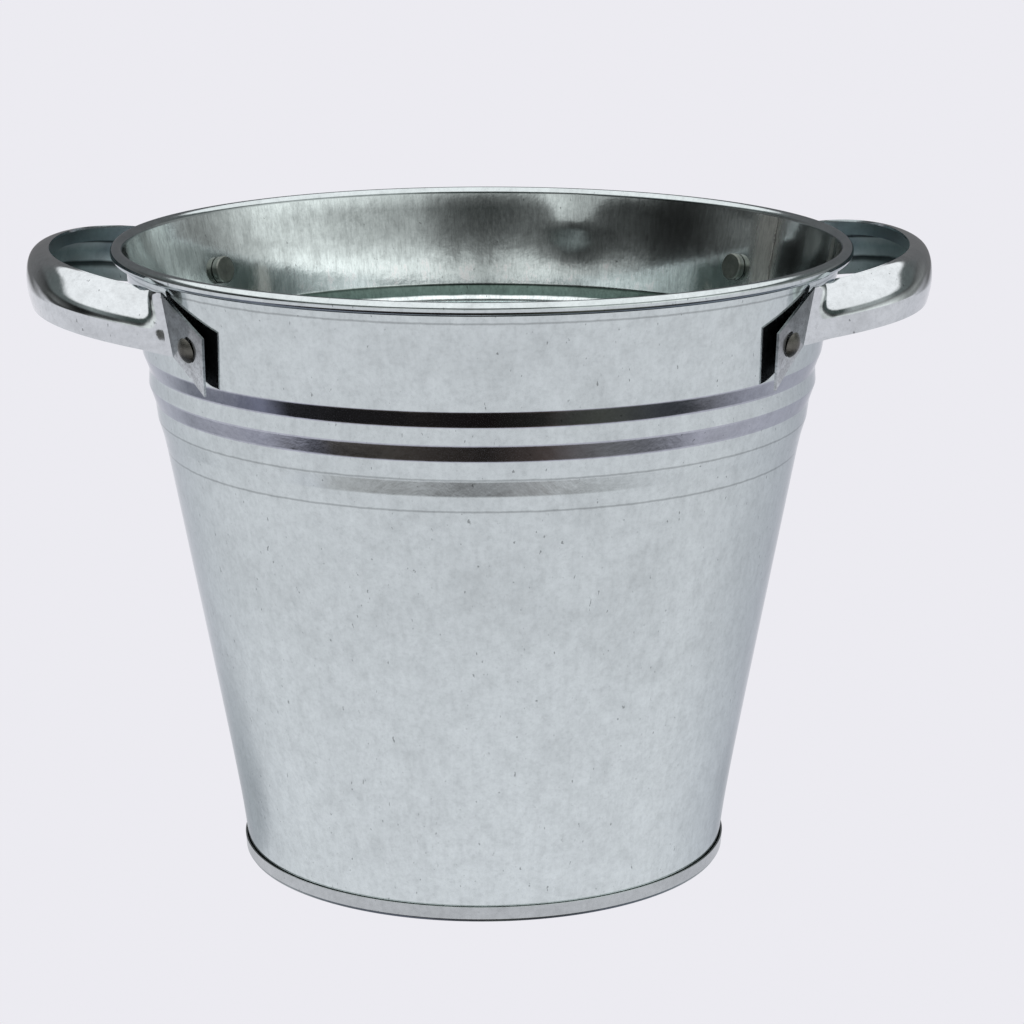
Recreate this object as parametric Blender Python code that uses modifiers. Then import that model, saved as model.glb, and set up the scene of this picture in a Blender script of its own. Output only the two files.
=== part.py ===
"""Galvanised steel bucket planter with two riveted strap handles.

The frame has its origin at the middle of the foot, on the floor, with +Z up
and +X towards the right handle. Lengths are in metres.
"""
import math

import bmesh
import bpy
from mathutils import Matrix, Vector

MM = 0.001

# Bucket
HEIGHT = 213.5 * MM
SHEET = 0.6 * MM
GAP = 0.3 * MM
FOOT_RADIUS = 80.7 * MM          # outside of the wall, produced down to the floor
WALL_SLOPE = 0.186               # growth of radius with height
ROUND_STEPS = 64                 # facets around every turned piece

# Rim: the wall's top edge is curled outwards around a wire
CURL_RADIUS = 2.2 * MM           # outside of the curl
CURL_END_ANGLE = -125.0          # degrees, where the curled edge stops
CURL_STEPS = 9

# Swages: pairs of height and how far the wall stands out from the plain cone
SHOULDER_RISE = 1.2 * MM
FOOT_FLARE = 1.8 * MM            # extra radius at the floor, dying away upwards
FLARE_REACH = 14.0 * MM
FLARE_HEIGHTS = (12.0 * MM, 22.0 * MM, 40.0 * MM)
SWAGES = (
    (178.0 * MM, 1.2 * MM),
    (172.3 * MM, 0.1 * MM),
    (167.0 * MM, 1.35 * MM),
    (161.2 * MM, 0.45 * MM),
    (155.3 * MM, 0.8 * MM),
    (149.4 * MM, 0.15 * MM),
    (144.6 * MM, 0.0 * MM),
)

# Foot: the base pan's edge is folded around the wall's bottom edge
SEAM_HEIGHT = 5.3 * MM
PANEL_HEIGHT = 5.0 * MM          # underside of the base panel
SEAM_BEND = 1.0 * MM             # small bevel at the seam's lower corners

# Strap handles, given for the right one
STRAP_SHEET = 0.8 * MM
STRAP_ENDS = {"right": 151.4 * MM, "left": 152.8 * MM}    # furthest point from the axis
SPREADS = {                      # degrees added to the angles of each tab
    ("right", "front"): 0.0,
    ("right", "back"): 0.4,
    ("left", "front"): 0.3,
    ("left", "back"): 2.1,
}
LEG_RISE = {"front": 2.4 * MM, "back": 3.2 * MM}          # added height at the fold
RIVET_RISE = {"front": 0.0 * MM, "back": 1.2 * MM}
DEPTH_SHARES = {                 # depth of the strap at the fold, of the depth at the end
    ("right", "front"): 0.99,
    ("right", "back"): 1.24,
    ("left", "front"): 1.08,
    ("left", "back"): 1.24,
}
FOLD_HEIGHTS = {
    ("right", "front"): 19.3 * MM,
    ("right", "back"): 22.0 * MM,
    ("left", "front"): 21.0 * MM,
    ("left", "back"): 22.0 * MM,
}
BACK_MIX = 0.4                   # share of the leg section reached by the back legs
FOLD_X = 101.5 * MM
FOLD_Y = 62.5 * MM
LOOP_ROUNDNESS = 49.0 * MM       # length of the bend's control arm at the far end
LEG_ARM = 27.0 * MM
LEG_ANGLE = -7.5                 # degrees between the leg and the X axis at the fold
STRAP_TOP = 213.3 * MM           # top edge at the far end
STRAP_DROP = 0.195               # fall of the strap towards the wall
STRAP_STATIONS = 16              # sections along half of the loop
FLATTEN_FROM = 0.92              # where the strap's section starts to flatten

# Strap sections at the far end and on the legs: inward offset and depth below the top edge
END_SECTION = (
    (7.6 * MM, 0.1 * MM),
    (5.2 * MM, 0.2 * MM),
    (2.8 * MM, 1.0 * MM),
    (1.2 * MM, 2.6 * MM),
    (0.3 * MM, 5.0 * MM),
    (0.0 * MM, 7.8 * MM),
    (0.0 * MM, 10.4 * MM),
    (0.2 * MM, 12.6 * MM),
    (0.7 * MM, 15.2 * MM),
    (1.5 * MM, 18.0 * MM),
)
LEG_SECTION = (
    (8.2 * MM, 0.0 * MM),
    (6.4 * MM, 0.5 * MM),
    (5.0 * MM, 1.7 * MM),
    (3.4 * MM, 4.3 * MM),
    (1.8 * MM, 7.2 * MM),
    (0.8 * MM, 9.2 * MM),
    (0.2 * MM, 10.6 * MM),
    (0.1 * MM, 11.2 * MM),
    (0.5 * MM, 14.5 * MM),
    (1.4 * MM, 18.0 * MM),
)

# Tab at each end of a strap: angles in degrees from the handle's middle plane
FOLD_ANGLE = 30.3
FOLD_TOP = 206.4 * MM
TAB_TOP_ANGLE = 41.4
TAB_TOP = 195.0 * MM
TAB_BOTTOM_ANGLE = 39.4
TAB_BOTTOM = 175.4 * MM
TAB_STATIONS = 5
TAB_CLEARANCE = 0.5 * MM         # between the wall and the tab's inner face
TAB_LIFT = 2.2 * MM              # extra gap at the tab's free edge

# Rivets
RIVET_ANGLE = 36.0               # before the handle's spread is added
RIVET_HEIGHT = 190.0 * MM
SHANK_RADIUS = 2.0 * MM
HEAD_RADIUS = 4.25 * MM
HEAD_DOME = 1.9 * MM
BUTTON_RADIUS = 4.85 * MM
BUTTON_THICKNESS = 2.4 * MM
BUTTON_EDGE = 0.4 * MM
RIVET_STEPS = 20
DOME_STEPS = 4

COLLECTION = "steel_bucket"
CUTTERS = "cutters"


def clear_scene():
    for obj in list(bpy.data.objects):
        bpy.data.objects.remove(obj, do_unlink=True)


def new_collection(name):
    collection = bpy.data.collections.new(name)
    bpy.context.scene.collection.children.link(collection)
    return collection


def metal(name, colour, roughness):
    material = bpy.data.materials.new(name)
    material.use_nodes = True
    shader = material.node_tree.nodes["Principled BSDF"]
    shader.inputs["Base Color"].default_value = (*colour, 1.0)
    shader.inputs["Roughness"].default_value = roughness
    shader.inputs["Metallic"].default_value = 1.0
    return material


def mesh_object(name, verts, edges, faces, collection):
    mesh = bpy.data.meshes.new(name)
    mesh.from_pydata(verts, edges, faces)
    mesh.update()
    obj = bpy.data.objects.new(name, mesh)
    collection.objects.link(obj)
    return obj


def turned(name, profile, steps, collection, closed):
    """A solid of revolution about Z from a profile of (radius, height) pairs."""
    verts = [(radius, 0.0, height) for radius, height in profile]
    count = len(verts)
    edges = [(i, i + 1) for i in range(count - 1)]
    if closed:
        edges.append((count - 1, 0))
    obj = mesh_object(name, verts, edges, [], collection)
    screw = obj.modifiers.new("Turn", "SCREW")
    screw.axis = "Z"
    screw.angle = math.tau
    screw.steps = steps
    screw.render_steps = steps
    screw.use_merge_vertices = True
    screw.merge_threshold = 0.00001
    screw.use_normal_calculate = False
    screw.use_smooth_shade = True
    return obj


def bake_modifiers(obj):
    """Replaces the object's mesh with its evaluated one and turns its faces out."""
    graph = bpy.context.evaluated_depsgraph_get()
    mesh = bpy.data.meshes.new_from_object(obj.evaluated_get(graph))
    obj.modifiers.clear()
    obj.data = mesh
    shape = bmesh.new()
    shape.from_mesh(mesh)
    bmesh.ops.recalc_face_normals(shape, faces=shape.faces)
    shape.to_mesh(mesh)
    shape.free()
    mesh.update()


def cut(obj, cutter, name):
    boolean = obj.modifiers.new(name, "BOOLEAN")
    boolean.operation = "DIFFERENCE"
    boolean.solver = "EXACT"
    boolean.object = cutter


def finish_shading(obj, material):
    obj.data.materials.clear()
    obj.data.materials.append(material)
    obj.data.shade_smooth()
    obj.data.set_sharp_from_angle(angle=math.radians(35.0))


# ---------------------------------------------------------------- bucket


def swage_rise(height):
    """How far the wall stands out from the plain cone at a height."""
    if height >= SWAGES[0][0]:
        return SHOULDER_RISE
    for (upper, rise_upper), (lower, rise_lower) in zip(SWAGES, SWAGES[1:]):
        if height >= lower:
            share = (height - lower) / (upper - lower)
            return rise_lower + (rise_upper - rise_lower) * share
    return 0.0


def wall_radius(height):
    """Outer radius of the wall."""
    flare = FOOT_FLARE * math.exp(-height / FLARE_REACH)
    return FOOT_RADIUS + WALL_SLOPE * height + swage_rise(height) + flare


def curl_centre():
    """Middle of the rim curl, whose inner side carries on the wall."""
    height = HEIGHT - CURL_RADIUS
    radius = wall_radius(height) - SHEET + CURL_RADIUS
    return radius, height


def wall_profile():
    """Closed section of the wall: up the inner face, round the curl and back down."""
    centre_radius, centre_height = curl_centre()
    swage_heights = [swage[0] for swage in reversed(SWAGES)]
    heights = [SEAM_HEIGHT, *FLARE_HEIGHTS, *swage_heights]
    bottom = 3.0 * GAP
    inner = [(wall_radius(bottom) - SHEET, bottom)]
    inner += [(wall_radius(height) - SHEET, height) for height in heights[1:]]
    outer = [(wall_radius(height), height) for height in reversed(heights)]
    outer.append((wall_radius(bottom), bottom))
    start = 180.0
    curl_outer = []
    curl_inner = []
    for step in range(CURL_STEPS + 1):
        angle = math.radians(start + (CURL_END_ANGLE - start) * step / CURL_STEPS)
        across = math.cos(angle)
        up = math.sin(angle)
        curl_outer.append((centre_radius + CURL_RADIUS * across,
                           centre_height + CURL_RADIUS * up))
        inside = CURL_RADIUS - SHEET
        curl_inner.append((centre_radius + inside * across,
                           centre_height + inside * up))
    return inner + curl_outer + curl_inner[::-1] + outer


def base_profile():
    """Section of the base pan: panel, inner leg, web under the wall and outer leg."""
    wall_bottom = wall_radius(0.0)
    wall_seam = wall_radius(SEAM_HEIGHT)
    inner_face = -SHEET - GAP
    outer_face = GAP
    panel_top = PANEL_HEIGHT + SHEET
    lower = SHEET
    return [
        (0.0, panel_top),
        (wall_radius(panel_top) + inner_face, panel_top),
        (wall_bottom + inner_face, lower),
        (wall_bottom + outer_face, lower),
        (wall_seam + outer_face, SEAM_HEIGHT),
        (wall_seam + outer_face + SHEET, SEAM_HEIGHT),
        (wall_radius(SEAM_BEND) + outer_face + SHEET, SEAM_BEND),
        (wall_bottom + outer_face, 0.0),
        (wall_bottom + inner_face - SHEET, 0.0),
        (wall_radius(PANEL_HEIGHT) + inner_face - SHEET, PANEL_HEIGHT),
        (0.0, PANEL_HEIGHT),
    ]


def wire_profile():
    centre_radius, centre_height = curl_centre()
    radius = CURL_RADIUS - SHEET - GAP
    count = 10
    points = []
    for step in range(count):
        angle = -math.tau * step / count
        points.append((centre_radius + radius * math.cos(angle),
                       centre_height + radius * math.sin(angle)))
    return points


# ---------------------------------------------------------------- rivets


def wall_point(angle, height, lift):
    """A point at a distance outside the wall, for an angle in degrees from +X."""
    turn = math.radians(angle)
    radius = wall_radius(height) + lift
    return Vector((radius * math.cos(turn), radius * math.sin(turn), height))


def wall_normal(angle):
    """Outward normal of the wall's cone."""
    turn = math.radians(angle)
    return Vector((math.cos(turn), math.sin(turn), -WALL_SLOPE)).normalized()


def tab_lift(share):
    """Distance from the wall to the tab's inner face, from fold (0) to free edge (1)."""
    return TAB_CLEARANCE + TAB_LIFT * share ** 2


def rivet_share():
    """Where the rivet sits across the tab, from fold (0) to free edge (1)."""
    free_angle = 0.5 * (TAB_TOP_ANGLE + TAB_BOTTOM_ANGLE)
    return (RIVET_ANGLE - FOLD_ANGLE) / (free_angle - FOLD_ANGLE)


def rivet_profile():
    """Half section along the rivet's axis, from the dome's tip to the button inside."""
    tab_width = math.radians(TAB_TOP_ANGLE - FOLD_ANGLE) * wall_radius(RIVET_HEIGHT)
    head_edge = rivet_share() + HEAD_RADIUS / tab_width
    head_base = tab_lift(head_edge) + STRAP_SHEET + GAP
    sphere = (HEAD_RADIUS ** 2 + HEAD_DOME ** 2) / (2.0 * HEAD_DOME)
    points = [(0.0, head_base + HEAD_DOME)]
    spread = math.asin(HEAD_RADIUS / sphere)
    for step in range(1, DOME_STEPS + 1):
        angle = spread * step / DOME_STEPS
        points.append((sphere * math.sin(angle),
                       head_base + HEAD_DOME - sphere * (1.0 - math.cos(angle))))
    button_top = -SHEET - GAP
    button_end = button_top - BUTTON_THICKNESS
    points += [
        (SHANK_RADIUS, head_base),
        (SHANK_RADIUS, button_top),
        (BUTTON_RADIUS, button_top),
        (BUTTON_RADIUS, button_end + BUTTON_EDGE),
        (BUTTON_RADIUS - BUTTON_EDGE, button_end),
        (0.0, button_end),
    ]
    return points


def rivet_angle(side, end):
    """Angle of a rivet from +X, in degrees."""
    angle = RIVET_ANGLE + SPREADS[side, end]
    if end == "front":
        angle = -angle
    return angle if side == "right" else 180.0 - angle


def rivet_matrix(side, end):
    """Places a piece turned about Z with its axis along the wall's normal."""
    angle = rivet_angle(side, end)
    turn = wall_normal(angle).to_track_quat("Z", "Y").to_matrix().to_4x4()
    place = wall_point(angle, RIVET_HEIGHT + RIVET_RISE[end], 0.0)
    return Matrix.Translation(place) @ turn


# ---------------------------------------------------------------- handles


def fold_plan(side, end):
    """Plan position of the strap's outer face at the fold."""
    spread = math.radians(SPREADS[side, end])
    return Matrix.Rotation(spread, 2) @ Vector((FOLD_X, FOLD_Y))


def loop_point(side, end, share):
    """Plan of the strap's outer face: 0 at the far end, 1 at the fold."""
    leg = math.radians(LEG_ANGLE)
    fold = fold_plan(side, end)
    reach = STRAP_ENDS[side]
    corners = (
        Vector((reach, 0.0)),
        Vector((reach, LOOP_ROUNDNESS)),
        fold + Vector((LEG_ARM * math.cos(leg), -LEG_ARM * math.sin(leg))),
        fold,
    )
    rest = 1.0 - share
    weights = (rest ** 3, 3.0 * rest ** 2 * share, 3.0 * rest * share ** 2, share ** 3)
    point = sum((corner * weight for corner, weight in zip(corners, weights)), Vector((0, 0)))
    slopes = (
        3.0 * rest ** 2 * (corners[1] - corners[0]),
        6.0 * rest * share * (corners[2] - corners[1]),
        3.0 * share ** 2 * (corners[3] - corners[2]),
    )
    along = (slopes[0] + slopes[1] + slopes[2]).normalized()
    outward = Vector((along.y, -along.x))
    return point, outward


def smooth(value):
    value = min(max(value, 0.0), 1.0)
    return value * value * (3.0 - 2.0 * value)


def section_at(end, share):
    """Section of the strap: pairs of inward offset and depth."""
    mix = smooth(2.0 * share) * (1.0 if end == "front" else BACK_MIX)
    return [tuple(Vector(first).lerp(Vector(second), mix))
            for first, second in zip(END_SECTION, LEG_SECTION)]


def strap_section(side, end, share):
    """One row of points across the strap, in the half with Y above 0."""
    point, outward = loop_point(side, end, share)
    fold = fold_plan(side, end)
    section = section_at(end, share)
    flat = smooth((share - FLATTEN_FROM) / (1.0 - FLATTEN_FROM))
    top = STRAP_TOP - STRAP_DROP * (STRAP_ENDS[side] - point.x) + LEG_RISE[end] * smooth(share)
    fold_height = STRAP_TOP - STRAP_DROP * (STRAP_ENDS[side] - fold.x) + LEG_RISE[end]
    depth_share = 1.0 + (DEPTH_SHARES[side, end] - 1.0) * share
    full_depth = section[-1][1]
    angle = FOLD_ANGLE + SPREADS[side, end]
    fold_upper, fold_lower = fold_edges(side, end)
    fold_upper = wall_point(angle, fold_upper, TAB_CLEARANCE + STRAP_SHEET)
    fold_lower = wall_point(angle, fold_lower, TAB_CLEARANCE + STRAP_SHEET)
    row = []
    for inward, depth in section:
        formed = Vector((point.x - outward.x * inward,
                         point.y - outward.y * inward,
                         top - depth * depth_share))
        edge = fold_upper.lerp(fold_lower, depth / full_depth)
        plain = Vector((point.x - fold.x + edge.x, point.y - fold.y + edge.y,
                        top - fold_height + edge.z))
        row.append(formed.lerp(plain, flat))
    return row


def fold_edges(side, end):
    """Heights of the fold's upper and lower ends."""
    upper = FOLD_TOP + RIVET_RISE[end]
    return upper, upper - FOLD_HEIGHTS[side, end]


def tab_section(side, end, share):
    """One row of points across the tab, from the fold (0) to the free edge (1)."""
    section = section_at(end, 1.0)
    fold_angle = FOLD_ANGLE + SPREADS[side, end]
    fold_upper, fold_lower = fold_edges(side, end)
    angle_top = fold_angle + (TAB_TOP_ANGLE - FOLD_ANGLE) * share
    angle_bottom = fold_angle + (TAB_BOTTOM_ANGLE - FOLD_ANGLE) * share
    height_top = fold_upper + (TAB_TOP + RIVET_RISE[end] - fold_upper) * share
    height_bottom = fold_lower + (TAB_BOTTOM + RIVET_RISE[end] - fold_lower) * share
    full_depth = section[-1][1]
    row = []
    for inward, depth in section:
        lean = depth / full_depth
        height = height_top + (height_bottom - height_top) * lean
        angle = angle_top + (angle_bottom - angle_top) * lean
        turn = math.radians(angle)
        radius = FOOT_RADIUS + WALL_SLOPE * height + SHOULDER_RISE
        radius += tab_lift(share) + STRAP_SHEET
        row.append(Vector((radius * math.cos(turn), radius * math.sin(turn), height)))
    return row


def half_rows(side, end):
    """Rows of points from the far end to the free edge, in the half with Y above 0."""
    rows = [strap_section(side, end, step / STRAP_STATIONS) for step in range(STRAP_STATIONS)]
    rows += [tab_section(side, end, step / TAB_STATIONS) for step in range(TAB_STATIONS + 1)]
    return rows


def strap_rows(side):
    """Rows of points along the whole strap, before the left one is turned by 180 degrees."""
    far, near = ("back", "front") if side == "right" else ("front", "back")
    mirrored = [[Vector((p.x, -p.y, p.z)) for p in row]
                for row in half_rows(side, near)[:0:-1]]
    return mirrored + half_rows(side, far)


def build_strap(side, name, collection):
    rows = strap_rows(side)
    width = len(END_SECTION)
    verts = [point for row in rows for point in row]
    faces = []
    for i in range(len(rows) - 1):
        for j in range(width - 1):
            a = i * width + j
            faces.append((a, a + width, a + width + 1, a + 1))
    obj = mesh_object(name, verts, [], faces, collection)
    solid = obj.modifiers.new("Sheet", "SOLIDIFY")
    solid.thickness = STRAP_SHEET
    solid.offset = 1.0
    solid.use_even_offset = True
    return obj


def hole_cutter(side, end, collection):
    bpy.ops.mesh.primitive_cylinder_add(vertices=16, radius=SHANK_RADIUS + GAP,
                                        depth=10.0 * MM)
    cutter = bpy.context.object
    cutter.name = "hole_" + side + "_" + end
    for owner in list(cutter.users_collection):
        owner.objects.unlink(cutter)
    collection.objects.link(cutter)
    cutter.matrix_world = rivet_matrix(side, end)
    cutter.hide_render = True
    cutter.display_type = "WIRE"
    return cutter


def main():
    clear_scene()
    parts = new_collection(COLLECTION)
    cutters = new_collection(CUTTERS)
    zinc = metal("zinc_sheet", (0.62, 0.65, 0.66), 0.32)
    strap_metal = metal("zinc_strap", (0.60, 0.62, 0.64), 0.25)
    wire_metal = metal("steel_wire", (0.45, 0.45, 0.44), 0.45)
    rivet_metal = metal("rivet_steel", (0.24, 0.25, 0.22), 0.45)
    base_metal = metal("zinc_base", (0.50, 0.52, 0.53), 0.38)

    holes = {(side, end): hole_cutter(side, end, cutters)
             for side in ("right", "left") for end in ("front", "back")}

    wall = turned("wall", wall_profile(), ROUND_STEPS, parts, closed=True)
    bake_modifiers(wall)
    for (side, end), cutter in holes.items():
        cut(wall, cutter, "Hole " + side + " " + end)
    finish_shading(wall, zinc)

    base = turned("base_pan", base_profile(), ROUND_STEPS, parts, closed=False)
    bake_modifiers(base)
    finish_shading(base, base_metal)

    wire = turned("rim_wire", wire_profile(), ROUND_STEPS, parts, closed=True)
    bake_modifiers(wire)
    finish_shading(wire, wire_metal)

    for side, turn in (("right", 0.0), ("left", math.pi)):
        strap = build_strap(side, "handle_" + side, parts)
        bake_modifiers(strap)
        strap.rotation_euler = (0.0, 0.0, turn)
        for end in ("front", "back"):
            cut(strap, holes[side, end], "Hole " + end)
        finish_shading(strap, strap_metal)

    for side, end in holes:
        rivet = turned("rivet_" + side + "_" + end, rivet_profile(), RIVET_STEPS, parts,
                       closed=False)
        bake_modifiers(rivet)
        rivet.matrix_world = rivet_matrix(side, end)
        finish_shading(rivet, rivet_metal)


main()
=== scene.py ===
"""Galvanised steel bucket planter with two riveted strap handles: the finished look.

Every shape is in metres in the frame of the CAD model. Heights and radii in the
tables below are in millimetres and are scaled by MM where they are used.
"""
import math

import bmesh
import bpy
from mathutils import Matrix, Vector

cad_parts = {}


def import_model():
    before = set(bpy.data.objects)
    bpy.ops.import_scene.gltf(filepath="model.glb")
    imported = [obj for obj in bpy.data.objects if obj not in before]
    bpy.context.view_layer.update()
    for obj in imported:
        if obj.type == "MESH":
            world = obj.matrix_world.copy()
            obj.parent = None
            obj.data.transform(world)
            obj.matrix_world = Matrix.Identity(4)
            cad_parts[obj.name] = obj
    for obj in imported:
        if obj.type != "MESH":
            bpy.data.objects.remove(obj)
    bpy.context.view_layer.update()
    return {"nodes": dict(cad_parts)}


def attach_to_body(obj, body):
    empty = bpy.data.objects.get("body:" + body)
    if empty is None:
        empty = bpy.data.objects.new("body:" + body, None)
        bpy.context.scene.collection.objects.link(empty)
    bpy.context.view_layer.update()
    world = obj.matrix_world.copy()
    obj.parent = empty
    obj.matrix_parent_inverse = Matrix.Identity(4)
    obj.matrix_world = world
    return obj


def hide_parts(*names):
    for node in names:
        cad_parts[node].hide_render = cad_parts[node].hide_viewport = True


MM = 0.001

# ---------------------------------------------------------------- sizes, in mm

HEIGHT = 213.5
SHEET = 0.6
GAP = 0.3
FOOT_RADIUS = 80.7
WALL_SLOPE = 0.186
ROUND_STEPS = 288

CURL_RADIUS = 2.2
CURL_END_ANGLE = -125.0
CURL_STEPS = 22
RIM_BOTTOM = HEIGHT - 2.0 * CURL_RADIUS

SHOULDER_RISE = 1.2
FOOT_FLARE = 1.8
FLARE_REACH = 14.0
FLARE_HEIGHTS = (3.0, 6.0, 9.0, 12.0, 17.0, 22.0, 30.0, 40.0, 60.0, 90.0, 120.0)
SWAGES = (
    (178.0, 1.2),
    (172.3, 0.10),
    (167.0, 1.35),
    (161.2, 0.45),
    (155.3, 0.8),
    (149.4, 0.15),
    (144.6, 0.0),
)
BEADS = ((172.3, 178.0), (161.2, 167.0))
SHOULDER_HEIGHTS = (182.0, 186.0, 190.0, 194.0, 198.0, 202.0, 206.0)
SHOULDER_BOW = 0.25              # the band under the rim is drawn in a little
CREASE = 0.35                    # half width of the bend at a crease

SEAM_HEIGHT = 5.3
PANEL_HEIGHT = 5.0
SEAM_BEND = 1.0

LAP_ANGLES = (27.2, 31.4)        # degrees, the wall sheet's own lap joint
LAP_STEP = 0.35                  # how far the overlapping edge stands out
LAP_INSIDE = 0.6                 # share of the step that shows inside
LAP_FADE = 3.0                   # degrees over which the frosted strip fades out
DENT_ANGLE = 71.5
DENT_HEIGHT = 200.5
DENT_DEPTH = 0.9
DENT_ACROSS = 9.5                # reach of the dent along the wall, and up and down
DENT_UP = 7.0

STRAP_SHEET = 0.8
STRAP_ENDS = {"right": 151.4, "left": 152.8}
SPREADS = {
    ("right", "front"): 0.0,
    ("right", "back"): 0.4,
    ("left", "front"): 0.3,
    ("left", "back"): 2.1,
}
LEG_RISE = {"front": 2.4, "back": 3.2}
RIVET_RISE = {"front": 0.0, "back": 1.2}
DEPTH_SHARES = {
    ("right", "front"): 0.99,
    ("right", "back"): 1.24,
    ("left", "front"): 1.08,
    ("left", "back"): 1.24,
}
FOLD_HEIGHTS = {
    ("right", "front"): 19.3,
    ("right", "back"): 22.0,
    ("left", "front"): 21.0,
    ("left", "back"): 22.0,
}
BACK_MIX = 0.4
LIP_DEPTH = 4.5                  # the turned-down inner edge of the strap
LIP_SHEET = 0.6
LIP_INSET = 0.02                 # where the lip starts, from the strap's inner edge
LIP_BELOW = 0.15
LIP_STEPS = (0.0, 0.35, 0.7, 1.0)
LIP_END = 0.84                   # share of the loop where the lip stops
LIP_TAPER_FROM = 0.7
LIP_TAPER = 0.8                  # share of its depth that it loses on the way
FOLD_X = 101.5
FOLD_Y = 62.5
LOOP_ROUNDNESS = 49.0
LEG_ARM = 27.0
LEG_ANGLE = -7.5
STRAP_TOP = 213.3
STRAP_DROP = 0.195
STRAP_STATIONS = 44
LAST_SHARE = 0.993               # of the loop: one more section just before the fold
FLATTEN_FROM = 0.87
END_SECTION = (
    (7.6, 0.1),
    (5.2, 0.2),
    (2.8, 1.0),
    (1.2, 2.6),
    (0.3, 5.0),
    (0.0, 7.8),
    (0.0, 10.4),
    (0.2, 12.6),
    (0.7, 15.2),
    (1.5, 18.0),
)
LEG_SECTION = (
    (8.2, 0.0),
    (6.4, 0.5),
    (4.8, 1.9),
    (3.0, 4.7),
    (1.4, 7.5),
    (0.8, 8.9),
    (0.4, 10.3),
    (0.2, 11.4),
    (0.5, 14.5),
    (1.4, 18.0),
)

FOLD_ANGLE = 30.3
FOLD_TOP = 206.4
TAB_TOP_ANGLE = 41.4
TAB_TOP = 195.0
TAB_BOTTOM_ANGLE = 39.4
TAB_BOTTOM = 175.4
TAB_SHARES = (0.0, 0.05, 0.12, 0.25, 0.4, 0.55, 0.7, 0.85, 0.95, 1.0)
TAB_CLEARANCE = 0.5
TAB_LIFT = 2.2
SHARP_ANGLE = 50.0               # degrees, edges of the handles that stay sharp

RIVET_ANGLE = 36.0
RIVET_HEIGHT = 190.0
SHANK_RADIUS = 2.0
HEAD_RADIUS = 4.25
HEAD_DOME = 1.9
BUTTON_RADIUS = 4.85
BUTTON_THICKNESS = 2.4
BUTTON_EDGE = 0.4
RIVET_STEPS = 48
DOME_STEPS = 10

# Painted highlights and painted shade on the strap's hidden side, by share of BAND_DEPTH below
# the top edge, whose height is BAND_TOP where it is BAND_REACH out from the axis. Light bands
# stand in for highlights and dark lines for shade in its creases; painted shade darkens them
# over END_FADE, towards the loop's far end.
BAND_TOP = STRAP_TOP + 1.5
BAND_REACH = 152.0
BAND_DEPTH = 20.0
END_FADE = (122.0, 143.0)
STRAP_LIGHT_AND_SHADE_BANDS = (
    (0.0, (0.62, 0.68, 0.70)),
    (0.27, (0.50, 0.56, 0.58)),
    (0.31, (0.05, 0.06, 0.06)),
    (0.345, (0.95, 1.0, 1.0)),
    (0.48, (0.70, 0.80, 0.80)),
    (0.64, (0.95, 1.0, 1.0)),
    (0.68, (0.08, 0.09, 0.09)),
    (0.73, (0.20, 0.22, 0.22)),
    (0.79, (0.98, 1.0, 1.0)),
    (1.0, (1.0, 1.0, 1.0)),
)

# Levels that multiply the colour, as (height, level) pairs.
TAB_TONES = ((172.0, 1.5), (182.0, 1.25), (190.0, 0.7), (206.0, 0.45))
OUTSIDE_TONES = ((0.0, 1.10), (50.0, 1.08), (110.0, 1.0), (180.0, 0.99))
# Inside, painted shade: a dark band in the upper swage's hollow stands in for its dark
# reflection, and the wall above it is darkened.
INSIDE_SHADE_TONES = (
    (173.9, 1.0),
    (174.4, (0.10, 0.14, 0.125)),
    (178.0, (0.12, 0.16, 0.14)),
    (178.6, 1.0),
    (186.0, 1.0),
    (192.5, 0.76),
    (198.0, 0.64),
    (208.0, 0.74),
)
# Heights of the wall's creases that get thin lines of painted shade.
CREASE_SHADE_LINES = (144.6, 155.3, 206.3)
SPECULAR_TINT = (0.72, 0.74, 0.76, 1.0)

# ---------------------------------------------------------------- the view, in mm

TURN = math.radians(-1.9)        # the bucket is turned a little from square-on
CAMERA_DISTANCE = 1093.75
CAMERA_HEIGHT = 387.1
CAMERA_PITCH = -0.24099
CAMERA_YAW = -0.00913
CAMERA_ROLL = -0.00103
CAMERA_LENS = 114.89
BACKDROP_RADIUS = 9.0            # metres
BACKDROP_COLOUR = (0.838, 0.831, 0.879)


# ---------------------------------------------------------------- node helpers


def make(tree, kind, inputs=(), **settings):
    """Adds a node; inputs maps socket names or numbers to values or other sockets."""
    made = tree.nodes.new(kind)
    for name, value in settings.items():
        setattr(made, name, value)
    for name, value in dict(inputs).items():
        if isinstance(value, bpy.types.NodeSocket):
            tree.links.new(value, made.inputs[name])
        else:
            made.inputs[name].default_value = value
    return made


def maths(tree, operation, first, second=0.0):
    made = make(tree, "ShaderNodeMath", {0: first, 1: second}, operation=operation)
    return made.outputs[0]


def scaled(tree, value, factor, plus):
    """value * factor + plus"""
    made = make(tree, "ShaderNodeMath", {0: value, 1: factor, 2: plus},
                operation="MULTIPLY_ADD")
    return made.outputs[0]


def wavered(tree, value, wave, spread):
    """Moves a value up and down within spread, following a noise."""
    return maths(tree, "ADD", value, scaled(tree, wave, spread, -0.5 * spread))


def ramp(tree, factor, stops):
    """A colour ramp; stops are pairs of position and grey level or colour."""
    made = make(tree, "ShaderNodeValToRGB", {0: factor})
    elements = made.color_ramp.elements
    while len(elements) < len(stops):
        elements.new(0.5)
    for element, (place, tone) in zip(elements, stops):
        element.position = place
        colour = tone if isinstance(tone, tuple) else (tone, tone, tone)
        element.color = (*colour, 1.0)
    return made.outputs[0]


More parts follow.
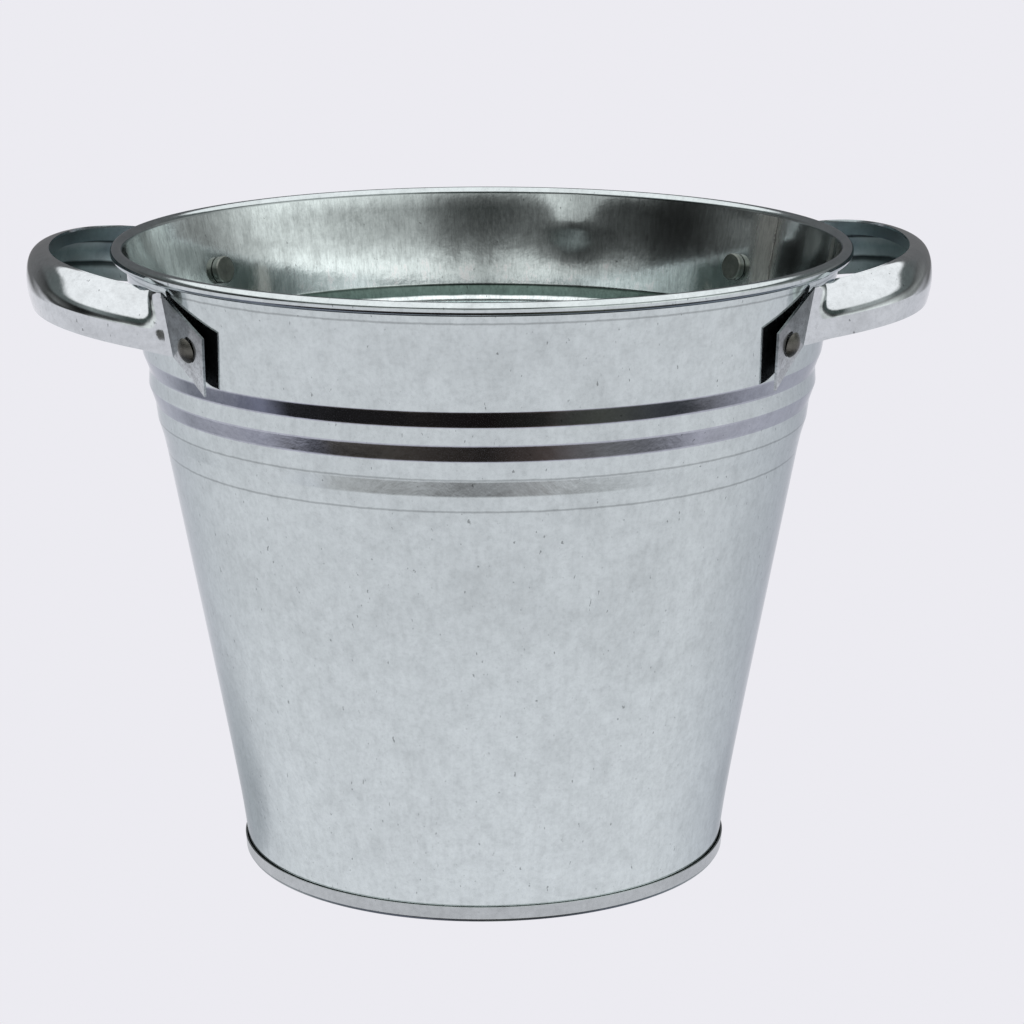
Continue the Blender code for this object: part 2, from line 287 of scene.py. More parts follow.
def blended(tree, factor, first, second, mode="MIX"):
    """Mixes two colours."""
    made = tree.nodes.new("ShaderNodeMix")
    made.data_type = "RGBA"
    made.blend_type = mode
    for socket, value in ((made.inputs[0], factor), (made.inputs[6], first),
                          (made.inputs[7], second)):
        if isinstance(value, bpy.types.NodeSocket):
            tree.links.new(value, socket)
        elif isinstance(value, tuple):
            socket.default_value = (*value, 1.0)
        else:
            socket.default_value = value
    return made.outputs[2]


def noise(tree, place, scale, detail=4.0, roughness=0.55, distortion=0.0):
    made = make(tree, "ShaderNodeTexNoise",
                {"Vector": place, "Scale": scale, "Detail": detail,
                 "Roughness": roughness, "Distortion": distortion})
    return made.outputs["Fac"]


def stretched(tree, place, scale):
    made = make(tree, "ShaderNodeMapping", {"Vector": place, "Scale": scale})
    return made.outputs[0]


# ---------------------------------------------------------------- finishes


def metal(name, colour, roughness):
    """A metal material, its node tree and its shader, still without detail."""
    material = bpy.data.materials.new(name)
    material.use_nodes = True
    tree = material.node_tree
    shader = tree.nodes["Principled BSDF"]
    shader.inputs["Base Color"].default_value = (*colour, 1.0)
    shader.inputs["Roughness"].default_value = roughness
    shader.inputs["Metallic"].default_value = 1.0
    return material, tree, shader


def bump(tree, shader, height, distance):
    made = make(tree, "ShaderNodeBump", {"Height": height, "Distance": distance})
    tree.links.new(made.outputs[0], shader.inputs["Normal"])


def opened(material):
    """A material's node tree, its shader and a point's place on the object."""
    tree = material.node_tree
    place = make(tree, "ShaderNodeTexCoord").outputs["Object"]
    return tree, tree.nodes["Principled BSDF"], place


def multiply_colour(tree, shader, shade):
    """Multiplies the colour that already reaches the shader."""
    old = shader.inputs["Base Color"].links[0].from_socket
    tree.links.new(blended(tree, 1.0, old, shade, "MULTIPLY"), shader.inputs["Base Color"])


def zinc_wall(name, colour, dull, along):
    """Galvanised sheet: soft mottling, wipe marks, a faint spangle and dark specks."""
    material, tree, shader = metal(name, colour, dull)
    place = make(tree, "ShaderNodeTexCoord").outputs["Object"]
    wipe_place = stretched(tree, place, along)
    clouds = noise(tree, place, 38.0, 5.0, 0.6, 0.4)
    mottle = noise(tree, place, 170.0, 4.0, 0.65)
    wipes = noise(tree, wipe_place, 420.0, 3.0, 0.6)
    grain = noise(tree, place, 1500.0, 2.0)
    specks = noise(tree, stretched(tree, place, (1.0, 1.0, 0.5)), 800.0, 2.0, 0.5)

    tone = ramp(tree, clouds, ((0.3, 0.94), (0.5, 1.0), (0.72, 1.03)))
    shade = blended(tree, 1.0, colour, tone, "MULTIPLY")
    patch = ramp(tree, mottle, ((0.35, 0.93), (0.52, 1.0), (0.7, 1.04)))
    shade = blended(tree, 1.0, shade, patch, "MULTIPLY")
    spangle = noise(tree, place, 620.0, 3.0, 0.7)
    patch = ramp(tree, spangle, ((0.3, 0.91), (0.5, 1.0), (0.7, 1.05)))
    shade = blended(tree, 1.0, shade, patch, "MULTIPLY")
    streak = ramp(tree, wipes, ((0.3, 0.94), (0.5, 1.0), (0.7, 1.03)))
    shade = blended(tree, 0.8, shade, streak, "MULTIPLY")
    dots = ramp(tree, specks, ((0.24, 0.5), (0.29, 1.0)))
    shade = blended(tree, 1.0, shade, dots, "MULTIPLY")
    tree.links.new(shade, shader.inputs["Base Color"])

    tree.links.new(scaled(tree, grain, 0.05, dull - 0.025), shader.inputs["Roughness"])

    relief = maths(tree, "ADD", clouds, maths(tree, "MULTIPLY", mottle, 0.06))
    relief = maths(tree, "ADD", relief, maths(tree, "MULTIPLY", wipes, 0.012))
    bump(tree, shader, relief, 0.00007)
    return material


def add_crease_shade(material, heights, width, tone):
    """Thin lines of painted shade around the wall, in the creases of its bends."""
    tree, shader, place = opened(material)
    height = make(tree, "ShaderNodeSeparateXYZ", {0: place}).outputs[2]
    height = wavered(tree, height, noise(tree, place, 260.0, 3.0), 0.5 * MM)
    mask = 1.0
    for level in heights:
        away = maths(tree, "ABSOLUTE", maths(tree, "SUBTRACT", height, level * MM))
        near = make(tree, "ShaderNodeMapRange", {"Value": away, "From Min": 0.3 * width * MM,
                                                 "From Max": width * MM}).outputs[0]
        mask = maths(tree, "MULTIPLY", near, mask)
    shade = ramp(tree, mask, ((0.0, tone), (1.0, 1.0)))
    multiply_colour(tree, shader, shade)


def add_scratches(material, tone, scale):
    """Fine slanting scratches and smears, as on a hand-filed tab."""
    tree, shader, place = opened(material)
    slanted = make(tree, "ShaderNodeMapping", {"Vector": place, "Rotation": (0.3, 0.75, 0.0),
                                               "Scale": (0.12, 1.0, 1.0)}).outputs[0]
    lines = noise(tree, slanted, scale, 4.0, 0.7)
    smear = noise(tree, slanted, 0.2 * scale, 3.0, 0.6)
    shade = ramp(tree, lines, ((0.40, tone), (0.52, 1.0), (0.66, 1.0), (0.72, 1.25)))
    shade = blended(tree, 1.0, shade, ramp(tree, smear, ((0.4, tone), (0.6, 1.0))), "MULTIPLY")
    multiply_colour(tree, shader, shade)


def add_height_tones(material, stops, wander):
    """Darkens or lightens a material by height; stops are pairs of mm and level."""
    tree, shader, place = opened(material)
    height = make(tree, "ShaderNodeSeparateXYZ", {0: place}).outputs[2]
    height = wavered(tree, height, noise(tree, place, 120.0, 3.0), wander * MM)
    low, high = stops[0][0], stops[-1][0]
    share = make(tree, "ShaderNodeMapRange", {"Value": height, "From Min": low * MM,
                                              "From Max": high * MM}).outputs[0]
    shade = ramp(tree, share, [((level - low) / (high - low), tone) for level, tone in stops])
    multiply_colour(tree, shader, shade)


def add_streaks(material):
    """Brushed vertical streaks with a fine grain, as left by rolling."""
    tree, shader, place = opened(material)
    broad = noise(tree, stretched(tree, place, (1.0, 1.0, 0.04)), 240.0, 3.0, 0.7)
    fine = noise(tree, stretched(tree, place, (1.0, 1.0, 0.12)), 1300.0, 3.0, 0.7)
    smears = noise(tree, place, 110.0, 5.0, 0.7, 0.5)
    shade = ramp(tree, broad, ((0.3, 0.84), (0.5, 1.0), (0.7, 1.10)))
    shade = blended(tree, 1.0, shade, ramp(tree, fine, ((0.3, 0.80), (0.5, 1.0), (0.7, 1.12))),
                    "MULTIPLY")
    shade = blended(tree, 1.0, shade, ramp(tree, smears, ((0.32, 0.82), (0.5, 1.0))),
                    "MULTIPLY")
    multiply_colour(tree, shader, shade)


def add_strap_light_and_shade(material):
    """Painted highlight and shade bands on the strap's hidden side, by depth below its top edge,
    with painted shade darker at the far end.
    """
    tree, shader, place = opened(material)
    across, _, height = make(tree, "ShaderNodeSeparateXYZ", {0: place}).outputs
    reach = maths(tree, "ABSOLUTE", across)
    rim = scaled(tree, reach, STRAP_DROP, (BAND_TOP - STRAP_DROP * BAND_REACH) * MM)
    depth = maths(tree, "MULTIPLY", maths(tree, "SUBTRACT", rim, height),
                  1.0 / (BAND_DEPTH * MM))
    depth = wavered(tree, depth, noise(tree, place, 60.0, 2.0), 0.06)
    bands = ramp(tree, depth, STRAP_LIGHT_AND_SHADE_BANDS)
    end = make(tree, "ShaderNodeMapRange", {"Value": reach, "From Min": END_FADE[0] * MM,
                                            "From Max": END_FADE[1] * MM}).outputs[0]
    bands = blended(tree, 1.0, bands, ramp(tree, end, ((0.0, 1.0), (1.0, 0.3))), "MULTIPLY")
    multiply_colour(tree, shader, bands)


def add_lap_band(material, low, high, colour):
    """A frosted strip up the inside where the sheet laps, with a jagged dark edge."""
    tree, shader, place = opened(material)
    across, along, _ = make(tree, "ShaderNodeSeparateXYZ", {0: place}).outputs
    angle = maths(tree, "MULTIPLY", maths(tree, "ARCTAN2", along, across), 180.0 / math.pi)
    angle = wavered(tree, angle, noise(tree, place, 240.0, 4.0, 0.7), 1.6)
    share = make(tree, "ShaderNodeMapRange", {"Value": angle, "From Min": low - LAP_FADE,
                                              "From Max": high + LAP_FADE}).outputs[0]
    edge = LAP_FADE / (high - low + 2.0 * LAP_FADE)
    mask = ramp(tree, share, ((0.0, 0.0), (edge, 1.0), (1.0 - edge, 0.9), (1.0, 0.0)))
    line = ramp(tree, share, ((edge - 0.035, 1.0), (edge - 0.01, 0.3), (edge + 0.015, 1.0)))
    old = shader.inputs["Base Color"].links[0].from_socket
    shade = blended(tree, maths(tree, "MULTIPLY", mask, 0.75), old, colour)
    tree.links.new(blended(tree, 1.0, shade, line, "MULTIPLY"), shader.inputs["Base Color"])
    old = shader.inputs["Roughness"].links[0].from_socket
    rough = maths(tree, "ADD", old, maths(tree, "MULTIPLY", mask, 0.3))
    tree.links.new(rough, shader.inputs["Roughness"])


def dark_steel_and_shade(name, colour, dull):
    """Plain dark rivet steel with a cast skin; nearly black, it also serves as painted shade on
    the tabs' backs.
    """
    material, tree, shader = metal(name, colour, dull)
    place = make(tree, "ShaderNodeTexCoord").outputs["Object"]
    pits = noise(tree, place, 900.0, 4.0, 0.6)
    cloud = noise(tree, place, 260.0, 3.0, 0.6)
    shade = ramp(tree, cloud, ((0.3, tuple(0.7 * c for c in colour)),
                               (0.7, tuple(1.3 * c for c in colour))))
    tree.links.new(shade, shader.inputs["Base Color"])
    tree.links.new(scaled(tree, pits, 0.3, dull - 0.15), shader.inputs["Roughness"])
    bump(tree, shader, pits, 0.00012)
    return material


def finishes():
    """The materials of the whole bucket, by the place where each is used."""
    outside = zinc_wall("zinc_outside", (0.61, 0.665, 0.66), 0.085, (1.0, 1.0, 0.18))
    # The inside is a much lighter copy of the outside zinc: painted light that lifts the lower
    # inside.
    inside = zinc_wall("zinc_inside", (0.93, 1.0, 0.995), 0.10, (1.0, 1.0, 0.04))
    rim = zinc_wall("zinc_rim", (0.60, 0.65, 0.65), 0.10, (0.3, 0.3, 1.0))
    base = zinc_wall("zinc_foot", (0.50, 0.53, 0.53), 0.16, (0.3, 0.3, 1.0))
    # The swaged beads get a darker, bluer copy of the outside zinc: painted shade on them.
    bead_shade = zinc_wall("zinc_beads_shaded", (0.47, 0.49, 0.54), 0.085, (0.3, 0.3, 1.0))
    strap = zinc_wall("zinc_straps", (0.62, 0.65, 0.66), 0.09, (0.3, 0.3, 1.0))
    tab = zinc_wall("zinc_tabs", (0.42, 0.45, 0.46), 0.14, (0.3, 0.3, 1.0))
    # The tabs' backs are nearly black: painted shade under the tabs, which the wall shows in
    # reflection.
    tab_back_shade = dark_steel_and_shade("tab_backs_painted_shade", (0.06, 0.06, 0.065), 0.5)
    # The strap's hidden side is a lighter copy of the strap zinc and carries painted highlights
    # and painted shade.
    strap_back_painted = zinc_wall("zinc_strap_backs_painted_light", (0.85, 0.90, 0.90), 0.30, (0.3, 0.3, 1.0))
    rivet = dark_steel_and_shade("rivet_steel_skin", (0.11, 0.108, 0.095), 0.36)
    button = dark_steel_and_shade("rivet_button_skin", (0.17, 0.185, 0.165), 0.34)
    # Painted shade lines in the wall's creases.
    add_crease_shade(outside, CREASE_SHADE_LINES, 0.48, 0.66)
    add_scratches(tab, 0.72, 1100.0)
    add_height_tones(tab, TAB_TONES, 4.0)
    add_strap_light_and_shade(strap_back_painted)
    add_lap_band(inside, *LAP_ANGLES, (0.86, 0.83, 0.76))
    # Painted shade on the inside: the dark band and the darker upper wall.
    add_height_tones(inside, INSIDE_SHADE_TONES, 0.6)
    add_streaks(inside)
    add_height_tones(outside, OUTSIDE_TONES, 20.0)
    for material in (outside, bead_shade, rim):
        shader = material.node_tree.nodes["Principled BSDF"]
        shader.inputs["Specular Tint"].default_value = SPECULAR_TINT
    wire = dark_steel_and_shade("rim_wire_skin", (0.34, 0.34, 0.33), 0.42)
    return {
        "outside": outside,
        "inside": inside,
        "rim": rim,
        "base": base,
        "bead_shade": bead_shade,
        "strap": strap,
        "tab": tab,
        "tab_back_shade": tab_back_shade,
        "strap_back_painted": strap_back_painted,
        "rivet": rivet,
        "button": button,
        "wire": wire,
    }


# ---------------------------------------------------------------- mesh helpers


def grid_mesh(name, rows, closed_across=False, closed_along=False):
    """A surface from rows of points, which all have the same length."""
    width = len(rows[0])
    verts = [tuple(c * MM for c in point) for row in rows for point in row]
    faces = []
    count = len(rows)
    for i in range(count if closed_along else count - 1):
        for j in range(width if closed_across else width - 1):
            here = i * width
            there = (i + 1) % count * width
            after = (j + 1) % width
            faces.append((here + j, there + j, there + after, here + after))
    mesh = bpy.data.meshes.new(name)
    mesh.from_pydata(verts, [], faces)
    mesh.update()
    mesh.shade_smooth()
    obj = bpy.data.objects.new(name, mesh)
    bpy.context.scene.collection.objects.link(obj)
    return obj


def face_outwards(obj):
    shape = bmesh.new()
    shape.from_mesh(obj.data)
    bmesh.ops.remove_doubles(shape, verts=shape.verts, dist=0.000001)
    bmesh.ops.recalc_face_normals(shape, faces=shape.faces)
    shape.to_mesh(obj.data)
    shape.free()


def creased(profile, bends, width):
    """Replaces each corner named in bends by a small rounded bend with flat sides."""
    made = []
    last = len(profile) - 1
    for index, (radius, height) in enumerate(profile):
        if index not in bends or index in (0, last):
            made.append((radius, height))
            continue
        here = Vector((radius, height))
        for neighbour, order in ((index - 1, (2.2, 1.0)), (index + 1, (1.0, 2.2))):
            towards = Vector(profile[neighbour]) - here
            reach = min(width, 0.22 * towards.length)
            towards.normalize()
            for times in order:
                point = here + towards * reach * times
                made.append((point.x, point.y))
            if neighbour < index:
                kept = (made[-1], here)
        blend = (Vector(kept[0]) + Vector(made[-2]) + 2.0 * here) / 4.0
        made.insert(len(made) - 2, (blend.x, blend.y))
    return made


def attach(obj, node, materials):
    """Gives a piece its finish and lets it stand for its CAD node."""
    for material in materials:
        obj.data.materials.append(material)
    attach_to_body(obj, "root")
    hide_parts(node)


# ---------------------------------------------------------------- bucket


def swage_rise(height):
    if height >= SWAGES[0][0]:
        share = (height - SWAGES[0][0]) / (HEIGHT - CURL_RADIUS - SWAGES[0][0])
        return SHOULDER_RISE - 4.0 * SHOULDER_BOW * share * (1.0 - share)
    for (upper, rise_upper), (lower, rise_lower) in zip(SWAGES, SWAGES[1:]):
        if height >= lower:
            share = (height - lower) / (upper - lower)
            return rise_lower + (rise_upper - rise_lower) * share
    return 0.0


def wall_radius(height):
    flare = FOOT_FLARE * math.exp(-height / FLARE_REACH)
    return FOOT_RADIUS + WALL_SLOPE * height + swage_rise(height) + flare


def curl_centre():
    height = HEIGHT - CURL_RADIUS
    return wall_radius(height) - SHEET + CURL_RADIUS, height


def wall_profile():
    """Closed section of the wall and how many of its points are on the inner face."""
    centre_radius, centre_height = curl_centre()
    swage_heights = [swage[0] for swage in reversed(SWAGES)]
    heights = [*FLARE_HEIGHTS, *swage_heights, *SHOULDER_HEIGHTS]
    bends = set(range(len(FLARE_HEIGHTS) + 1, len(FLARE_HEIGHTS) + 1 + len(SWAGES)))
    bottom = 3.0 * GAP
    inner = [(wall_radius(bottom) - SHEET, bottom)]
    inner += [(wall_radius(height) - SHEET, height) for height in heights]
    outer = [(wall_radius(bottom), bottom)]
    outer += [(wall_radius(height), height) for height in heights]
    inner = creased(inner, bends, CREASE)
    outer = creased(outer, bends, CREASE)[::-1]
    curl_outer = []
    curl_inner = []
    for step in range(CURL_STEPS + 1):
        angle = math.radians(180.0 + (CURL_END_ANGLE - 180.0) * step / CURL_STEPS)
        across = math.cos(angle)
        up = math.sin(angle)
        inside = CURL_RADIUS - SHEET
        curl_outer.append((centre_radius + CURL_RADIUS * across,
                           centre_height + CURL_RADIUS * up))
        curl_inner.append((centre_radius + inside * across,
                           centre_height + inside * up))
    edge_outer = curl_outer[-1]
    edge_inner = curl_inner[-1]
    return inner + curl_outer + [edge_outer, edge_inner] + curl_inner[::-1] + outer, len(inner)


def wall_angles():
    """Angles in degrees around the wall, with close pairs at the lap joint's edges."""
    step = 360.0 / ROUND_STEPS
    start = LAP_ANGLES[0]
    angles = [start + step * i for i in range(ROUND_STEPS)]
    angles = [a for a in angles if all(abs(a - edge) > 0.3 for edge in LAP_ANGLES)]
    for edge in LAP_ANGLES:
        angles += [edge - 0.1, edge - 0.03, edge + 0.03, edge + 0.1]
    return sorted(a % 360.0 for a in angles)


def lap_rise(angle):
    low, high = LAP_ANGLES
    return LAP_STEP if low < angle < high else 0.0


def dent_push(angle, height):
    """Depth of the shallow dent near the rim, which pushes the sheet outwards."""
    across = math.radians(angle - DENT_ANGLE) * wall_radius(DENT_HEIGHT)
    up = height - DENT_HEIGHT
    return DENT_DEPTH * math.exp(-(across / DENT_ACROSS) ** 2 - (up / DENT_UP) ** 2)


def build_wall(materials):
    profile, inner_count = wall_profile()
    rows = []
    for angle in wall_angles():
        turn = math.radians(angle)
        row = []
        for index, (radius, height) in enumerate(profile):
            rise = lap_rise(angle) if height < RIM_BOTTOM else 0.0
            radius += -LAP_INSIDE * rise if index < inner_count else rise
            radius += dent_push(angle, height)
            row.append((radius * math.cos(turn), radius * math.sin(turn), height))
        rows.append(row)
    wall = grid_mesh("bucket_wall", rows, closed_across=True, closed_along=True)
    face_outwards(wall)
    for face in wall.data.polygons:
        middle = face.center
        towards_axis = face.normal.x * middle.x + face.normal.y * middle.y < 0.0
        if middle.z > RIM_BOTTOM * MM:
            face.material_index = 2
        elif towards_axis:
            face.material_index = 1
        elif any(low * MM < middle.z < high * MM for low, high in BEADS):
            face.material_index = 3
    attach(wall, "wall", materials)


def turned(name, profile, steps):
    rows = []
    for step in range(steps):
        turn = math.tau * step / steps
        rows.append([(r * math.cos(turn), r * math.sin(turn), z) for r, z in profile])
    obj = grid_mesh(name, rows, closed_along=True)
    face_outwards(obj)
    return obj


def base_profile():
    wall_bottom = wall_radius(0.0)
    wall_seam = wall_radius(SEAM_HEIGHT)
    inner_face = -SHEET - GAP
    outer_face = GAP
    panel_top = PANEL_HEIGHT + SHEET
    lower = SHEET
    corners = [
        (0.0, panel_top),
        (wall_radius(panel_top) + inner_face - 2.0, panel_top),
        (wall_radius(panel_top) + inner_face, panel_top),
        (wall_bottom + inner_face, lower),
        (wall_bottom + outer_face, lower),
        (wall_seam + outer_face, SEAM_HEIGHT),
        (wall_seam + outer_face + SHEET, SEAM_HEIGHT),
        (wall_radius(SEAM_BEND) + outer_face + SHEET, SEAM_BEND),
        (wall_bottom + outer_face, 0.0),
        (wall_bottom + inner_face - SHEET, 0.0),
        (wall_radius(PANEL_HEIGHT) + inner_face - SHEET, PANEL_HEIGHT),
        (0.0, PANEL_HEIGHT),
    ]
    return creased(corners, set(range(2, len(corners) - 1)), 0.12)


def build_base(material):
    base = turned("base_pan_piece", base_profile(), ROUND_STEPS)
    attach(base, "base_pan", [material])


# ---------------------------------------------------------------- rivets


def wall_point(angle, height, lift):
    turn = math.radians(angle)
    radius = wall_radius(height) + lift
    return Vector((radius * math.cos(turn), radius * math.sin(turn), height))


def wall_normal(angle):
    turn = math.radians(angle)
    return Vector((math.cos(turn), math.sin(turn), -WALL_SLOPE)).normalized()


def tab_lift(share):
    return TAB_CLEARANCE + TAB_LIFT * share ** 2


def rivet_profile():
    """Half section along the rivet's axis, from the dome's tip to the button inside."""
    free_angle = 0.5 * (TAB_TOP_ANGLE + TAB_BOTTOM_ANGLE)
    share = (RIVET_ANGLE - FOLD_ANGLE) / (free_angle - FOLD_ANGLE)
    tab_width = math.radians(TAB_TOP_ANGLE - FOLD_ANGLE) * wall_radius(RIVET_HEIGHT)
    head_base = tab_lift(share + HEAD_RADIUS / tab_width) + STRAP_SHEET + GAP
    sphere = (HEAD_RADIUS ** 2 + HEAD_DOME ** 2) / (2.0 * HEAD_DOME)
    spread = math.asin(HEAD_RADIUS / sphere)
    points = []
    for step in range(DOME_STEPS + 1):
        angle = spread * step / DOME_STEPS
        points.append((sphere * math.sin(angle),
                       head_base + HEAD_DOME - sphere * (1.0 - math.cos(angle))))
    dome_count = len(points)
    button_top = -SHEET - GAP
    button_end = button_top - BUTTON_THICKNESS
    points += [
        (SHANK_RADIUS, head_base),
        (SHANK_RADIUS, button_top),
        (BUTTON_RADIUS, button_top),
        (BUTTON_RADIUS, button_end + BUTTON_EDGE),
        (BUTTON_RADIUS - BUTTON_EDGE, button_end),
        (0.0, button_end),
    ]
    return creased(points, set(range(dome_count - 1, len(points) - 1)), 0.15)


def rivet_angle(side, end):
    angle = RIVET_ANGLE + SPREADS[side, end]
    if end == "front":
        angle = -angle
    return angle if side == "right" else 180.0 - angle


def build_rivet(side, end, materials):
    place = side + "_" + end
    angle = rivet_angle(side, end)
    rivet = turned("rivet_piece_" + place, rivet_profile(), RIVET_STEPS)
    for face in rivet.data.polygons:
        face.material_index = 1 if face.center.z < -SHEET * MM else 0
    turn = wall_normal(angle).to_track_quat("Z", "Y").to_matrix().to_4x4()
    spot = wall_point(angle, RIVET_HEIGHT + RIVET_RISE[end], 0.0)
    rivet.data.transform(Matrix.Translation(spot * MM) @ turn)
    attach(rivet, "rivet_" + place, materials)


# ---------------------------------------------------------------- handles


def fold_plan(side, end):
    spread = math.radians(SPREADS[side, end])
    return Matrix.Rotation(spread, 2) @ Vector((FOLD_X, FOLD_Y))


def loop_point(side, end, share):
    """Plan of the strap's outer face: 0 at the far end, 1 at the fold."""
    leg = math.radians(LEG_ANGLE)
    fold = fold_plan(side, end)
    reach = STRAP_ENDS[side]
    corners = (
        Vector((reach, 0.0)),
        Vector((reach, LOOP_ROUNDNESS)),
        fold + Vector((LEG_ARM * math.cos(leg), -LEG_ARM * math.sin(leg))),
        fold,
    )
    rest = 1.0 - share
    weights = (rest ** 3, 3.0 * rest ** 2 * share, 3.0 * rest * share ** 2, share ** 3)
    point = sum((corner * weight for corner, weight in zip(corners, weights)), Vector((0, 0)))
    slopes = (
        3.0 * rest ** 2 * (corners[1] - corners[0]),
        6.0 * rest * share * (corners[2] - corners[1]),
        3.0 * share ** 2 * (corners[3] - corners[2]),
    )
    along = (slopes[0] + slopes[1] + slopes[2]).normalized()
    return point, Vector((along.y, -along.x))


def smooth(value):
    value = min(max(value, 0.0), 1.0)
    return value * value * (3.0 - 2.0 * value)


def softened(points, rounds):
    """Rounds a line of points by cutting its corners, and keeps both ends."""
    points = [Vector(p) for p in points]
    for _ in range(rounds):
        cut = [points[0]]
        for first, second in zip(points, points[1:]):
            cut += [first.lerp(second, 0.25), first.lerp(second, 0.75)]
        points = cut + [points[-1]]
    return [tuple(p) for p in points]


def section_at(end, share, sections):
    """Section of the strap: pairs of inward offset and depth."""
    mix = smooth(2.0 * share) * (1.0 if end == "front" else BACK_MIX)
    return [tuple(Vector(first).lerp(Vector(second), mix))
            for first, second in zip(*sections)]


def strap_top(side, end, share, reach):
    """Height of the strap's top edge, and the share of its full depth."""
    top = STRAP_TOP - STRAP_DROP * (STRAP_ENDS[side] - reach) + LEG_RISE[end] * smooth(share)
    return top, 1.0 + (DEPTH_SHARES[side, end] - 1.0) * share


def formed_point(side, end, share, inward, depth):
    """A point of the formed strap from its inward offset and depth."""
    point, outward = loop_point(side, end, share)
    top, depth_share = strap_top(side, end, share, point.x)
    plan = point - outward * inward
    return Vector((plan.x, plan.y, top - depth * depth_share))


def strap_section(side, end, share, sections):
    """One row of points across the strap, in the half with Y above 0."""
    point, _ = loop_point(side, end, share)
    fold = fold_plan(side, end)
    section = section_at(end, share, sections)
    flat = smooth((share - FLATTEN_FROM) / (1.0 - FLATTEN_FROM))
    top, _ = strap_top(side, end, share, point.x)
    fold_height = STRAP_TOP - STRAP_DROP * (STRAP_ENDS[side] - fold.x) + LEG_RISE[end]
    full_depth = section[-1][1]
    angle = FOLD_ANGLE + SPREADS[side, end]
    fold_upper, fold_lower = fold_edges(side, end)
    fold_upper = wall_point(angle, fold_upper, TAB_CLEARANCE + STRAP_SHEET)
    fold_lower = wall_point(angle, fold_lower, TAB_CLEARANCE + STRAP_SHEET)
    row = []
    for inward, depth in section:
        formed = formed_point(side, end, share, inward, depth)
        edge = fold_upper.lerp(fold_lower, depth / full_depth)
        plain = Vector((point.x - fold.x + edge.x, point.y - fold.y + edge.y,
                        top - fold_height + edge.z))
        row.append(formed.lerp(plain, flat))
    return row


def lip_section(side, end, share, sections):
    """One row across the lip turned down from the strap's inner edge."""
    inward, depth = section_at(end, share, sections)[0]
    taper = smooth((share - LIP_TAPER_FROM) / (LIP_END - LIP_TAPER_FROM))
    drop = LIP_DEPTH * (1.0 - taper * LIP_TAPER)
    return [formed_point(side, end, share, inward + LIP_INSET, depth + LIP_BELOW + drop * step)
            for step in LIP_STEPS]


def fold_edges(side, end):
    """Heights of the fold's upper and lower ends."""
    upper = FOLD_TOP + RIVET_RISE[end]
    return upper, upper - FOLD_HEIGHTS[side, end]


def tab_section(side, end, share, sections):
    """One row of points across the tab, from the fold (0) to the free edge (1)."""
    section = section_at(end, 1.0, sections)
    fold_angle = FOLD_ANGLE + SPREADS[side, end]
    fold_upper, fold_lower = fold_edges(side, end)
    angle_top = fold_angle + (TAB_TOP_ANGLE - FOLD_ANGLE) * share
    angle_bottom = fold_angle + (TAB_BOTTOM_ANGLE - FOLD_ANGLE) * share
    height_top = fold_upper + (TAB_TOP + RIVET_RISE[end] - fold_upper) * share
    height_bottom = fold_lower + (TAB_BOTTOM + RIVET_RISE[end] - fold_lower) * share
    full_depth = section[-1][1]
    row = []
    for inward, depth in section:
        lean = depth / full_depth
        height = height_top + (height_bottom - height_top) * lean
        angle = angle_top + (angle_bottom - angle_top) * lean
        turn = math.radians(angle)
        radius = FOOT_RADIUS + WALL_SLOPE * height + SHOULDER_RISE
        radius += tab_lift(share) + STRAP_SHEET
        row.append(Vector((radius * math.cos(turn), radius * math.sin(turn), height)))
    return row


def half_rows(side, end, sections):
    """Rows of points from the far end to the free edge, in the half with Y above 0."""
    shares = [step / STRAP_STATIONS for step in range(STRAP_STATIONS)] + [LAST_SHARE]
    rows = [strap_section(side, end, share, sections) for share in shares]
    rows += [tab_section(side, end, share, sections) for share in TAB_SHARES]
    return rows


def both_halves(side, rows_of):
    """Joins the two halves of the strap's rows; rows_of gives one half by its end."""
    far, near = ("back", "front") if side == "right" else ("front", "back")
    mirrored = [[Vector((p.x, -p.y, p.z)) for p in row] for row in rows_of(near)[:0:-1]]
    return mirrored + rows_of(far)


def thickened(obj, thickness, side_offset, slots_on):
    """Turns a surface into sheet; the outer faces use materials some slots on."""
    solid = obj.modifiers.new("Sheet", "SOLIDIFY")
    solid.thickness = thickness * MM
    solid.offset = side_offset
    solid.use_even_offset = True
    solid.material_offset = slots_on
    solid.material_offset_rim = slots_on
    graph = bpy.context.evaluated_depsgraph_get()
    obj.data = bpy.data.meshes.new_from_object(obj.evaluated_get(graph))
    obj.modifiers.clear()


